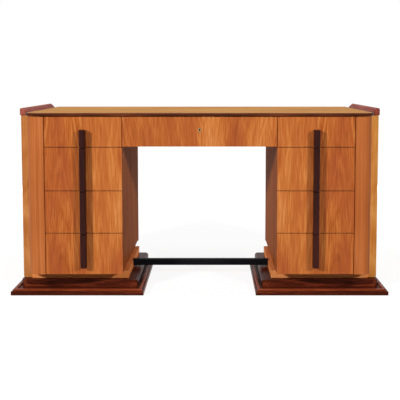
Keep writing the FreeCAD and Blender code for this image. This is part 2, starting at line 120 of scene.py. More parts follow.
class Head(Enum):
    """Shape of a fixing's head."""

    SLOTTED = "slotted"
    DOMED = "domed"


class Grain(Enum):
    """Axis that the grain of a board runs along, and for upright grain the way that the board faces."""

    ACROSS = "X"
    DEEP = "Y"
    UPRIGHT = "Z"
    UPRIGHT_END = "Z facing X"
    MITRED = "mitred"


def linear(colour: str) -> tuple[float, float, float, float]:
    """Turn an sRGB hex colour into linear light.

    Args:
        colour: Six hex digits.

    Returns:
        Red, green, blue and alpha.
    """
    lights = []
    for value in bytes.fromhex(colour):
        share = value / SRGB_FULL
        if share <= SRGB_FOOT_END:
            lights.append(share / SRGB_FOOT_SLOPE)
        else:
            lights.append(((share + SRGB_OFFSET) / (1 + SRGB_OFFSET)) ** SRGB_POWER)
    return (*lights, 1.0)


def millimetres(place: float) -> float:
    """Turn a place in the frame into millimetres."""
    return round(place / MM, PLACES)


def add(tree: Tree, kind: str, feeds: Feeds | None = None, **settings: object) -> Socket | None:
    """Add one node with its settings and links.

    Args:
        tree: Tree that takes the node.
        kind: Type name of the node.
        feeds: Sockets or plain values for the inputs, by name or place.
        settings: Values for the node's own properties.

    Returns:
        The first output of the node, or None where it has no output.
    """
    node = tree.nodes.new(kind)
    for name, value in settings.items():
        setattr(node, name, value)
    for key, value in (feeds or {}).items():
        if isinstance(value, Socket):
            tree.links.new(value, node.inputs[key])
        else:
            node.inputs[key].default_value = value
    return node.outputs[0] if node.outputs else None


def new_material(name: str) -> bpy.types.Material:
    """Start a node material that has no nodes yet.

    Args:
        name: Name of the material.

    Returns:
        The empty material.
    """
    material = bpy.data.materials.new(name)
    material.use_nodes = True
    material.node_tree.nodes.clear()
    return material


def new_object(name: str, data: bpy.types.ID) -> bpy.types.Object:
    """Put a mesh, a lamp or a camera into the scene.

    Args:
        name: Name of the new object.
        data: What it holds. A mesh is in metres, in the desk's own frame.

    Returns:
        The new object, at the origin.
    """
    made = bpy.data.objects.new(name, data)
    bpy.context.scene.collection.objects.link(made)
    return made


def lay_surface(tree: Tree, colour: Socket, dulling: Feeds, relief: Feeds, plain: Feeds) -> None:
    """Join the colour, roughness and fine relief of a material in its surface.

    Args:
        tree: Tree of the material.
        colour: Colour of the surface.
        dulling: Pattern that the roughness follows, and its least and greatest value.
        relief: Pattern that the fine relief follows, its strength and its depth.
        plain: Values that are the same all over the surface.
    """
    rough = add(tree, "ShaderNodeMapRange", dulling)
    bump = add(tree, "ShaderNodeBump", relief)
    feeds = {"Base Color": colour, "Roughness": rough, "Normal": bump} | plain
    surface = add(tree, "ShaderNodeBsdfPrincipled", feeds)
    add(tree, "ShaderNodeOutputMaterial", {"Surface": surface})


@dataclass(frozen=True)
class Figure:
    """How a leaf of veneer was cut from its log: sizes in millimetres, measured across the leaf."""

    centre: float = 0.0
    pith_depth: float = 0.0
    taper: float = 0.0
    mirrored: bool = False


@dataclass(frozen=True)
class Mitre:
    """Plan of a moulding in millimetres, whose grain turns at the corners."""

    inner: float
    outer: float
    front: float
    back: float

    @classmethod
    def around(cls, node: str, **clear: float) -> "Mitre":
        """Take the plan of a moulding from the frame.

        Args:
            node: Moulding on the right, or right across the desk.
            clear: Sides where its grain doesn't turn, placed clear of the desk.

        Returns:
            The plan of the moulding.
        """
        low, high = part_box(node)
        sides = {"inner": low.x, "outer": high.x, "front": low.y, "back": high.y}
        plan = {side: millimetres(place) for side, place in sides.items()}
        return cls(**(plan | clear))


@dataclass(frozen=True)
class Seam:
    """Glue line between an inner and an outer leaf of veneer, and how the two leaves differ.

    Its place, its widths and the shift from leaf to leaf are in millimetres.
    """

    place: float
    outer_tone: float = -0.06
    inner_calm: float = 0.4
    leaf_shift: float = 260.0
    half_width: float = 0.5
    soft_width: float = 1.2
    strength: float = 0.5
    colour: str = "6A3318"

    @classmethod
    def behind(cls, node: str) -> "Seam":
        """Run the seam behind the middle of a node."""
        low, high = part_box(node)
        return cls(millimetres((low.x + high.x) / 2))


@dataclass(frozen=True)
class BeadHighlight:
    """Band of painted highlight along a moulding's bead, between two heights in millimetres: the shade is
    raised there to stand in for light catching the bead.
    """

    low: float
    high: float
    tone: float


@dataclass(frozen=True)
class Timber:
    """Wood with growth bands, streaks and clouds, all at their real widths in millimetres."""

    name: str
    colours: tuple[str, ...]
    stops: tuple[float, ...]
    grain: Grain
    band: float = 14.0
    streak: float = 5.0
    reach: float = 160.0
    wander: float = 14.0
    cloud: float = 110.0
    ring_share: float = 0.3
    streak_share: float = 0.3
    cloud_share: float = 0.35
    blush: str | None = None
    blush_share: float = 0.5
    roughness: float = 0.34
    gloss: float = 0.12
    seed: float = 0.0
    figure: Figure = field(default_factory=Figure)
    mitre: Mitre | None = None
    seam: Seam | None = None
    bead_highlight: BeadHighlight | None = None

    def material(self) -> bpy.types.Material:
        """Build the node material of this timber.

        Returns:
            The finished material.
        """
        material = new_material(self.name)
        tree = material.node_tree
        place = add(tree, "ShaderNodeTexCoord").node.outputs["Object"]
        spot = add(tree, "ShaderNodeVectorMath", {0: place, 1: (1 / MM,) * 3}, operation="MULTIPLY")
        along, across, depth = self.directions(tree, spot)
        outer = self.outer_leaf(tree, across) if self.seam else None
        if outer:
            leaf = {0: outer, 1: self.seam.leaf_shift, 2: depth}
            depth = add(tree, "ShaderNodeMath", leaf, operation="MULTIPLY_ADD")
        shade, fine, cloud = self.pattern(tree, along, across, depth, outer)
        # A band of painted highlight raises the shade along the bead of a moulding.
        if self.bead_highlight:
            shade = self.painted_bead_highlight(tree, spot, shade)
        ramp = add(tree, "ShaderNodeValToRGB", {"Fac": shade}).node
        self.colour_ramp(ramp.color_ramp)
        colour = ramp.outputs["Color"]
        if self.blush:
            colour = self.flushed(tree, cloud, colour)
        if self.seam:
            colour = self.seam_line(tree, across, colour)
        smoothest = self.roughness - ROUGH_SPREAD
        roughest = self.roughness + ROUGH_SPREAD
        lay_surface(
            tree, colour,
            {"Value": fine, "To Min": smoothest, "To Max": roughest},
            {"Height": fine, "Strength": PORE_STRENGTH, "Distance": PORE_DEPTH},
            {"Specular IOR Level": self.gloss},
        )
        return material

    def directions(self, tree: Tree, spot: Socket) -> tuple[Socket, Socket, Socket]:
        """Split the place on the object into along, across and through the grain.

        Args:
            tree: Tree of the material.
            spot: Place on the object in millimetres.

        Returns:
            Sockets along, across and through the grain.
        """
        x, y, z = add(tree, "ShaderNodeSeparateXYZ", {0: spot}).node.outputs
        if self.figure.mirrored or self.mitre:
            x = add(tree, "ShaderNodeMath", {0: x}, operation="ABSOLUTE")
        if self.grain is Grain.UPRIGHT:
            return z, x, y
        if self.grain is Grain.UPRIGHT_END:
            return z, y, x
        if self.grain is Grain.ACROSS:
            return x, y, z
        if self.grain is Grain.DEEP:
            return y, x, z
        plan = self.mitre
        from_inner = add(tree, "ShaderNodeMath", {0: x, 1: plan.inner}, operation="SUBTRACT")
        from_outer = add(tree, "ShaderNodeMath", {0: plan.outer, 1: x}, operation="SUBTRACT")
        from_front = add(tree, "ShaderNodeMath", {0: y, 1: plan.front}, operation="SUBTRACT")
        from_back = add(tree, "ShaderNodeMath", {0: plan.back, 1: y}, operation="SUBTRACT")
        to_end = add(tree, "ShaderNodeMath", {0: from_inner, 1: from_outer}, operation="MINIMUM")
        to_face = add(tree, "ShaderNodeMath", {0: from_front, 1: from_back}, operation="MINIMUM")
        is_end = add(tree, "ShaderNodeMath", {0: to_end, 1: to_face}, operation="LESS_THAN")
        along = add(tree, "ShaderNodeMix", {0: is_end, NUMBER_A: x, NUMBER_B: y}, data_type="FLOAT")
        across = add(tree, "ShaderNodeMix", {0: is_end, NUMBER_A: y, NUMBER_B: x}, data_type="FLOAT")
        return along, across, z

    def outer_leaf(self, tree: Tree, across: Socket) -> Socket:
        """Return 1 on the leaf outside the seam and 0 on the one inside it."""
        return add(tree, "ShaderNodeMath", {0: across, 1: self.seam.place}, operation="GREATER_THAN")

    def pattern(
        self, tree: Tree, along: Socket, across: Socket, depth: Socket, outer: Socket | None,
    ) -> tuple[Socket, Socket, Socket]:
        """Draw growth bands, streaks and clouds.

        Args:
            tree: Tree of the material.
            along: Place along the grain.
            across: Place across the grain.
            depth: Place through the grain.
            outer: Where the outer leaf lies, on a face with a seam.

        Returns:
            The shade from dark to pale, the fine streaks alone and the clouds alone.
        """
        noises = []
        offset = tuple(step * self.seed for step in SEED_STEPS)
        spreads = (
            (DRIFT_WIDTH * self.cloud, DRIFT_LENGTH * self.cloud),
            (self.streak, self.reach),
            (self.cloud, CLOUD_LENGTH * self.cloud),
        )
        for width, length in spreads:
            fine_along = add(tree, "ShaderNodeMath", {0: along, 1: length}, operation="DIVIDE")
            fine_across = add(tree, "ShaderNodeMath", {0: across, 1: width}, operation="DIVIDE")
            fine_depth = add(tree, "ShaderNodeMath", {0: depth, 1: width}, operation="DIVIDE")
            vector = add(tree, "ShaderNodeCombineXYZ", {0: fine_across, 1: fine_depth, 2: fine_along})
            shifted = add(tree, "ShaderNodeVectorMath", {0: vector, 1: offset})
            noise = {"Vector": shifted, "Scale": 1.0, "Detail": GRAIN_LAYERS}
            noises.append(add(tree, "ShaderNodeTexNoise", noise))
        drift, fine, cloud = noises
        ring = self.rings(tree, along, across, drift)
        shade = MIDDLE_SHADE
        if outer:
            calms = {"Value": outer, "To Min": self.seam.inner_calm, "To Max": 1.0}
            calm = add(tree, "ShaderNodeMapRange", calms)
            tones = {"Value": outer, "To Min": shade, "To Max": shade + self.seam.outer_tone}
            shade = add(tree, "ShaderNodeMapRange", tones)
        shares = ((ring, self.ring_share), (fine, self.streak_share), (cloud, self.cloud_share))
        for part, share in shares:
            centred = add(tree, "ShaderNodeMath", {0: part, 1: MIDDLE_SHADE}, operation="SUBTRACT")
            if outer and part is ring:
                centred = add(tree, "ShaderNodeMath", {0: centred, 1: calm}, operation="MULTIPLY")
            summed = {0: centred, 1: 2 * share, 2: shade}
            shade = add(tree, "ShaderNodeMath", summed, operation="MULTIPLY_ADD")
        return shade, fine, cloud

    def rings(self, tree: Tree, along: Socket, across: Socket, drift: Socket) -> Socket:
        """Draw the growth bands of the log.

        Args:
            tree: Tree of the material.
            along: Place along the grain.
            across: Place across the grain.
            drift: Slow noise that bends the bands.

        Returns:
            Uneven bands from dark to pale.
        """
        leaf = self.figure
        bend = {"Value": drift, "To Min": -self.wander, "To Max": self.wander}
        shift = add(tree, "ShaderNodeMapRange", bend)
        from_centre = add(tree, "ShaderNodeMath", {0: across, 1: leaf.centre}, operation="SUBTRACT")
        radius = add(tree, "ShaderNodeMath", {0: from_centre, 1: shift})
        if leaf.pith_depth:
            squared = add(tree, "ShaderNodeMath", {0: radius, 1: radius}, operation="MULTIPLY")
            summed = add(tree, "ShaderNodeMath", {0: squared, 1: leaf.pith_depth ** 2})
            radius = add(tree, "ShaderNodeMath", {0: summed}, operation="SQRT")
        cone = {0: along, 1: leaf.taper, 2: radius}
        tapered = add(tree, "ShaderNodeMath", cone, operation="MULTIPLY_ADD")
        rounds = add(tree, "ShaderNodeMath", {0: tapered, 1: self.band}, operation="DIVIDE")
        bands = {"W": rounds, "Scale": 1.0, "Detail": BAND_LAYERS}
        return add(tree, "ShaderNodeTexNoise", bands, noise_dimensions="1D")

    def painted_bead_highlight(self, tree: Tree, spot: Socket, shade: Socket) -> Socket:
        """Raise the shade along the band of painted highlight on the bead.

        Args:
            tree: Tree of the material.
            spot: Place on the object in millimetres.
            shade: Shade of the timber from dark to pale.

        Returns:
            The shade with the painted highlight in it.
        """
        height = add(tree, "ShaderNodeSeparateXYZ", {0: spot}).node.outputs["Z"]
        middle = (self.bead_highlight.low + self.bead_highlight.high) / 2
        reach = (self.bead_highlight.high - self.bead_highlight.low) / 2
        inside = add(tree, "ShaderNodeMath", {0: height, 1: middle, 2: reach}, operation="COMPARE")
        raised = {0: inside, 1: self.bead_highlight.tone, 2: shade}
        return add(tree, "ShaderNodeMath", raised, operation="MULTIPLY_ADD")

    def colour_ramp(self, ramp: bpy.types.ColorRamp) -> None:
        """Set the ramp from the darkest to the palest colour.

        Args:
            ramp: Ramp with its two first stops.
        """
        ramp.elements[0].position = self.stops[0]
        ramp.elements[0].color = linear(self.colours[0])
        ramp.elements[1].position = self.stops[-1]
        ramp.elements[1].color = linear(self.colours[-1])
        for stop, colour in list(zip(self.stops, self.colours))[1:-1]:
            ramp.elements.new(stop).color = linear(colour)

    def flushed(self, tree: Tree, cloud: Socket, colour: Socket) -> Socket:
        """Redden the wood where its clouds are dark.

        Args:
            tree: Tree of the material.
            cloud: Clouds from dark to pale.
            colour: Colour of the wood.

        Returns:
            The colour with the blush in it.
        """
        flush = add(
            tree, "ShaderNodeMapRange",
            {
                "Value": cloud, "From Min": BLUSH_START, "From Max": BLUSH_FULL,
                "To Min": 0.0, "To Max": self.blush_share,
            },
        )
        tones = {0: flush, COLOUR_A: colour, COLOUR_B: linear(self.blush)}
        return add(tree, "ShaderNodeMix", tones, data_type="RGBA").node.outputs[MIXED_COLOUR]

    def seam_line(self, tree: Tree, across: Socket, colour: Socket) -> Socket:
        """Darken the fine glue line where two leaves of veneer meet.

        Args:
            tree: Tree of the material.
            across: Place across the grain in millimetres.
            colour: Colour of the leaves.

        Returns:
            The colour with the glue line in it.
        """
        seam = self.seam
        away = add(tree, "ShaderNodeMath", {0: across, 1: seam.place}, operation="SUBTRACT")
        gap = add(tree, "ShaderNodeMath", {0: away}, operation="ABSOLUTE")
        edge = seam.half_width + seam.soft_width
        line = add(
            tree, "ShaderNodeMapRange",
            {
                "Value": gap, "From Min": seam.half_width, "From Max": edge,
                "To Min": seam.strength, "To Max": 0.0,
            },
        )
        tones = {0: line, COLOUR_A: colour, COLOUR_B: linear(seam.colour)}
        return add(tree, "ShaderNodeMix", tones, data_type="RGBA").node.outputs[MIXED_COLOUR]


@dataclass(frozen=True)
class Metal:
    """Metal with fine rubbing marks, dulled in blotches of tarnish: sizes in millimetres."""

    name: str
    bright: str
    tarnish: str
    roughness: float = 0.32
    polish: float = 0.08
    dulling: float = 0.14
    blotch_width: float = 6.0
    rub_gap: float = 0.4
    rub_depth: float = 0.05
    rub_strength: float = 0.15

    def material(self) -> bpy.types.Material:
        """Build the node material of this metal.

        Returns:
            The finished material.
        """
        material = new_material(self.name)
        tree = material.node_tree
        place = add(tree, "ShaderNodeTexCoord").node.outputs["Object"]
        blotches = {"Vector": place, "Scale": 1 / (self.blotch_width * MM), "Detail": TARNISH_LAYERS}
        blotch = add(tree, "ShaderNodeTexNoise", blotches)
        marks = {"Vector": place, "Scale": 1 / (self.rub_gap * MM), "Detail": RUB_LAYERS}
        rub = add(tree, "ShaderNodeTexNoise", marks)
        tones = {0: blotch, COLOUR_A: linear(self.bright), COLOUR_B: linear(self.tarnish)}
        colour = add(tree, "ShaderNodeMix", tones, data_type="RGBA").node.outputs[MIXED_COLOUR]
        smoothest = self.roughness - self.polish
        roughest = self.roughness + self.dulling
        lay_surface(
            tree, colour,
            {"Value": blotch, "To Min": smoothest, "To Max": roughest},
            {"Height": rub, "Strength": self.rub_strength, "Distance": self.rub_depth * MM},
            {"Metallic": 1.0},
        )
        return material


@dataclass(frozen=True)
class DarkCoat:
    """Dark coat brushed across the desk, with faint ridges: sizes in millimetres."""

    name: str
    thin: str
    thick: str
    roughness: float = 0.42
    gloss: float = 0.02
    polish: float = 0.08
    dulling: float = 0.1
    ridge_length: float = 120.0
    ridge_gap: float = 3.0
    ridge_depth: float = 0.1
    ridge_strength: float = 0.2

    def material(self) -> bpy.types.Material:
        """Build the node material of this coat.

        Returns:
            The finished material.
        """
        material = new_material(self.name)
        tree = material.node_tree
        place = add(tree, "ShaderNodeTexCoord").node.outputs["Object"]
        spans = (self.ridge_length, self.ridge_gap, self.ridge_gap)
        scales = tuple(1 / (span * MM) for span in spans)
        stretched = add(tree, "ShaderNodeVectorMath", {0: place, 1: scales}, operation="MULTIPLY")
        ridges = {"Vector": stretched, "Scale": 1.0, "Detail": RIDGE_LAYERS}
        ridge = add(tree, "ShaderNodeTexNoise", ridges)
        tones = {0: ridge, COLOUR_A: linear(self.thin), COLOUR_B: linear(self.thick)}
        colour = add(tree, "ShaderNodeMix", tones, data_type="RGBA").node.outputs[MIXED_COLOUR]
        smoothest = self.roughness - self.polish
        roughest = self.roughness + self.dulling
        lay_surface(
            tree, colour,
            {"Value": ridge, "To Min": smoothest, "To Max": roughest},
            {"Height": ridge, "Strength": self.ridge_strength, "Distance": self.ridge_depth * MM},
            {"Specular IOR Level": self.gloss},
        )
        return material


Finish = Timber | Metal | DarkCoat

# Shades at which the colours of plain wood and of strongly marked dark wood lie.
PLAIN_STOPS = (0.15, 0.4, 0.6, 0.9)
DARK_STOPS = (0.2, 0.45, 0.62, 0.88)

# Walnut veneer, sliced and French polished: warm orange brown, darker growth bands and golden streaks.
WALNUT_COLOURS = ("7A3616", "A65521", "BE6A30", "CE7E40", "DC945A")
WALNUT_STOPS = (0.1, 0.36, 0.52, 0.68, 0.92)
BANK_WALNUT = Timber(
    "sliced_walnut_bank_veneer", WALNUT_COLOURS, WALNUT_STOPS, Grain.UPRIGHT,
    band=11.0, streak=4.0, reach=80.0, wander=30.0, cloud=80.0,
    ring_share=0.28, streak_share=0.34, cloud_share=0.36, blush="B25A34",
    figure=Figure(centre=590.0, pith_depth=22.0, taper=0.11, mirrored=True),
    seam=Seam.behind("right_top_drawer_pull"),
)
FRIEZE_WALNUT = Timber(
    "sliced_walnut_frieze_veneer", WALNUT_COLOURS, WALNUT_STOPS, Grain.UPRIGHT,
    band=13.0, streak=4.0, reach=60.0, wander=22.0, ring_share=0.22, streak_share=0.3,
    blush="A4502E", seed=3.0, figure=Figure(centre=18.0, pith_depth=12.0, taper=-0.22),
)
POST_WALNUT = Timber(
    "sliced_walnut_post_veneer", ("964C22", "B06030", "C2703C", "D0844E"), PLAIN_STOPS, Grain.UPRIGHT,
    band=12.0, streak=5.0, reach=260.0, wander=8.0, ring_share=0.2, streak_share=0.2, cloud_share=0.25,
    roughness=0.3, gloss=0.04, seed=5.0,
)
# The neck's walnut is painted much paler than its own colour: painted light that lifts the neck out of
# the shadow under the drawers.
NECK_WALNUT_PAINTED_LIGHT = Timber(
    "sliced_walnut_neck_painted_light", ("CC6E34", "EC8846", "F49A58", "F8AC70"), PLAIN_STOPS, Grain.ACROSS,
    band=12.0, streak=5.0, reach=160.0, wander=8.0, ring_share=0.2, streak_share=0.2, cloud_share=0.25,
    roughness=0.5, gloss=0.05, seed=6.0,
)
SLAB_WALNUT = Timber(
    "sliced_walnut_slab_veneer", ("A65C2C", "C87E40", "D89254", "E4A86C"), PLAIN_STOPS, Grain.UPRIGHT_END,
    band=18.0, streak=6.0, reach=240.0, wander=24.0, ring_share=0.26, cloud_share=0.3,
    seed=8.0, figure=Figure(centre=20.0, pith_depth=40.0, taper=-0.16),
)
# Paler copy of the slab walnut for the right end only, slab and outer side: painted light that makes up
# for the post's shadow on that slab.
RIGHT_SLAB_PAINTED_LIGHT = replace(
    SLAB_WALNUT, name="sliced_walnut_right_slab_painted_light",
    colours=("C2702E", "E29444", "F0A856", "F6BC70"),
)
SIDE_WALNUT = Timber(
    "sliced_walnut_side_veneer", ("7E4018", "9C5420", "AE642A", "C07838"), PLAIN_STOPS, Grain.UPRIGHT,
    band=16.0, streak=6.0, reach=220.0, wander=18.0, roughness=0.5, gloss=0.1, seed=11.0,
)
# Darker copy of the side walnut for the sides of the knee hole: painted shade for the dim knee hole.
KNEE_WALNUT_PAINTED_SHADE = replace(
    SIDE_WALNUT, name="sliced_walnut_knee_painted_shade", grain=Grain.UPRIGHT_END,
    colours=("743816", "8E4820", "A0582A", "B26A38"), gloss=0.003,
)
TOP_WALNUT = Timber(
    "sliced_walnut_top_veneer", ("9E6026", "BC7C34", "CC9244", "D8A656"), PLAIN_STOPS, Grain.ACROSS,
    band=20.0, streak=7.0, reach=260.0, wander=26.0, roughness=0.6, gloss=0.06,
    seed=14.0, figure=Figure(centre=40.0, pith_depth=60.0, taper=0.05),
)
# Rosewood, moulded and French polished: near-black brown, with red and chestnut streaks along a moulding.
PLINTH_ROSEWOOD = Timber(
    "moulded_rosewood_plinth", ("240C06", "4C1C0E", "722E18", "9C4A2A"), DARK_STOPS, Grain.MITRED,
    band=8.0, streak=4.0, reach=90.0, wander=16.0, ring_share=0.4, streak_share=0.4,
    roughness=0.3, gloss=0.03, seed=17.0,
    # The paler band low on the plinth is a painted highlight along the bead's rounded top, not paler
    # wood.
    mitre=Mitre.around("right_plinth_base", back=FAR), bead_highlight=BeadHighlight(low=18.0, high=25.0, tone=0.36),
)
BLOCK_ROSEWOOD = Timber(
    "moulded_rosewood_block", ("1C0905", "3E170D", "602616", "844026"), DARK_STOPS, Grain.MITRED,
    band=10.0, streak=4.0, reach=60.0, wander=24.0, ring_share=0.45, streak_share=0.35,
    roughness=0.3, gloss=0.03, seed=21.0, mitre=Mitre.around("right_plinth_block", back=FAR),
)
BAND_ROSEWOOD = Timber(
    "moulded_rosewood_edge_band", ("1E0B05", "401B0D", "622D16", "8A4A2A"), DARK_STOPS, Grain.MITRED,
    band=9.0, streak=4.0, reach=120.0, wander=8.0, streak_share=0.4,
    roughness=0.26, gloss=0.08, seed=19.0, mitre=Mitre.around("top_edge_band", inner=-FAR),
)
# The end rail is paler and pinker than the other rosewood: partly its own tone, partly a painted sheen of
# reflected white.
RAIL_ROSEWOOD_PAINTED_SHEEN = Timber(
    "moulded_rosewood_end_rail_painted_sheen", ("5E2820", "8A4032", "AA5C4C", "BC7262"), DARK_STOPS, Grain.DEEP,
    band=9.0, streak=4.0, reach=140.0, wander=8.0, streak_share=0.3,
    roughness=0.45, gloss=0.02, seed=23.0,
)
# Ebonised hardwood, planed and waxed: purplish black with fine brown streaks along the pull.
PULL_EBONY = Timber(
    "ebonised_hardwood_pull", ("140504", "280E0B", "3E1812", "52241C"), DARK_STOPS, Grain.UPRIGHT,
    band=3.0, streak=1.6, reach=90.0, wander=2.0, streak_share=0.4, roughness=0.34, seed=29.0,
)
# Oak drawer linings, planed and left bare: pale straw with darker growth lines.
LINING_OAK = Timber(
    "planed_oak_lining", ("A07C4C", "BC9862", "CBAA74", "D9BC8A"), PLAIN_STOPS, Grain.DEEP,
    band=7.0, streak=2.5, reach=70.0, wander=8.0, roughness=0.68, gloss=0.2, seed=31.0,
)
# Pine carcass boards, sawn and planed: dull honey with soft growth lines.
CARCASS_PINE = Timber(
    "planed_pine_carcass", ("8C6236", "AC8048", "BE945A", "CCA66C"), PLAIN_STOPS, Grain.DEEP,
    band=12.0, streak=3.0, reach=110.0, wander=12.0, roughness=0.7, gloss=0.2, seed=37.0,
)
# Cast and rubbed brass: warm yellow metal, dulled in blotches.
LOCK_BRASS = Metal("rubbed_cast_brass", "CCA070", "8E6C44")
# Iron lining the keyhole, coloured near black: painted shade for the dark depth of the lock, so the
# keyhole looks black.
KEYHOLE_SHADE_IRON = DarkCoat("keyhole_painted_shade_iron", "0A0908", "14110F", roughness=0.7, gloss=0.01)
# Black lacquer on the foot bar: neutral black with a satin shine.
BAR_LACQUER = DarkCoat("brushed_black_lacquer", "101012", "1A1A1D")


def edge_softener() -> Tree:
    """Build the tree that joins loose triangles and smooths shallow angles.

    Returns:
        A geometry tree that takes and gives a mesh.
    """
    tree = bpy.data.node_groups.new("soft_curves", "GeometryNodeTree")
    for way in ("INPUT", "OUTPUT"):
        tree.interface.new_socket("Geometry", in_out=way, socket_type="NodeSocketGeometry")
    source = add(tree, "NodeGroupInput")
    bare = add(tree, "GeometryNodeRemoveAttribute", {"Geometry": source, "Name": "custom_normal"})
    whole = add(tree, "GeometryNodeMergeByDistance", {"Geometry": bare, "Distance": WELD_REACH})
    smooth = add(tree, "GeometryNodeSetShadeSmooth", {"Geometry": whole}, domain="FACE")
    angles = {0: add(tree, "GeometryNodeInputMeshEdgeAngle"), 1: math.radians(CURVE_ANGLE)}
    sharp = add(tree, "FunctionNodeCompare", angles, operation="GREATER_THAN")
    creases = {"Geometry": smooth, "Selection": sharp, "Shade Smooth": False}
    creased = add(tree, "GeometryNodeSetShadeSmooth", creases, domain="EDGE")
    add(tree, "NodeGroupOutput", {0: creased})
    return tree


@dataclass(frozen=True)
class Fixing:
    """Head of a screw or pin: sizes in millimetres."""

    head: Head
    radius: float
    rise: float
    slot_width: float = 0.8
    slot_depth: float = 0.5


def fixing_head(tree: Tree, head: Head, given: bpy.types.NodeOutputs) -> Socket:
    """Model one head at the origin, facing up.

    Args:
        tree: Geometry tree that takes the nodes.
        head: Shape of the head.
        given: Outputs of the group's input node.

    Returns:
        The mesh of the head.
    """
    across = given["Radius"]
    rise = given["Rise"]
    if head is Head.DOMED:
        facets = {"Segments": DOME_FACETS, "Rings": DOME_RINGS, "Radius": 1.0}
        ball = add(tree, "GeometryNodeMeshUVSphere", facets)
        spread = add(tree, "ShaderNodeCombineXYZ", {0: across, 1: across, 2: rise})
        dome = add(tree, "GeometryNodeTransform", {"Geometry": ball, "Scale": spread})
        return add(tree, "GeometryNodeSetShadeSmooth", {"Geometry": dome})
    crown = add(tree, "ShaderNodeMath", {0: across, 1: CROWN_SHARE}, operation="MULTIPLY")
    disc = add(
        tree, "GeometryNodeMeshCone",
        {"Vertices": HEAD_FACETS, "Radius Top": crown, "Radius Bottom": across, "Depth": rise},
    )
    length = add(tree, "ShaderNodeMath", {0: across, 1: CUTTER_LENGTH}, operation="MULTIPLY")
    height = add(tree, "ShaderNodeMath", {0: given["Slot Depth"], 1: CUTTER_HEIGHT}, operation="MULTIPLY")
    size = add(tree, "ShaderNodeCombineXYZ", {0: length, 1: given["Slot Width"], 2: height})
    bar = add(tree, "GeometryNodeMeshCube", {"Size": size})
    lift = add(tree, "ShaderNodeCombineXYZ", {2: rise})
    cutter = add(tree, "GeometryNodeTransform", {"Geometry": bar, "Translation": lift})
    return add(tree, "GeometryNodeMeshBoolean", {0: disc, 1: cutter}, operation="DIFFERENCE")


def fixing_tree(head: Head) -> Tree:
    """Build the tree that sets a head on each point, its slot turned at random.

    Args:
        head: Shape of the heads.

    Returns:
        A geometry tree whose named inputs are the sizes, the facing, the seed and the finish.
    """
    tree = bpy.data.node_groups.new(f"{head.value}_fixings", "GeometryNodeTree")
    inputs = {
        "Points": "Geometry", "Radius": "Float", "Rise": "Float", "Slot Width": "Float",
        "Slot Depth": "Float", "Facing": "Vector", "Seed": "Int", "Finish": "Material",
    }
    for name, kind in inputs.items():
        tree.interface.new_socket(name, in_out="INPUT", socket_type=f"NodeSocket{kind}")
    tree.interface.new_socket("Geometry", in_out="OUTPUT", socket_type="NodeSocketGeometry")
    given = add(tree, "NodeGroupInput").node.outputs
    mesh = fixing_head(tree, head, given)
    facing = add(tree, "FunctionNodeAlignRotationToVector", {"Vector": given["Facing"]}, axis="Z")
    chances = {RANDOM_LOW: 0.0, RANDOM_HIGH: math.pi, RANDOM_SEED: given["Seed"]}
    chance = add(tree, "FunctionNodeRandomValue", chances, data_type="FLOAT").node.outputs[RANDOM_NUMBER]
    turn = add(tree, "FunctionNodeAxisAngleToRotation", {"Axis": (0, 0, 1), "Angle": chance})
    rotation = add(tree, "FunctionNodeRotateRotation", {0: facing, 1: turn}, rotation_space="LOCAL")
    heads = {"Points": given["Points"], "Instance": mesh, "Rotation": rotation}
    placed = add(tree, "GeometryNodeInstanceOnPoints", heads)
    real = add(tree, "GeometryNodeRealizeInstances", {"Geometry": placed})
    dressed = add(tree, "GeometryNodeSetMaterial", {"Geometry": real, "Material": given["Finish"]})
    add(tree, "NodeGroupOutput", {0: dressed})
    return tree


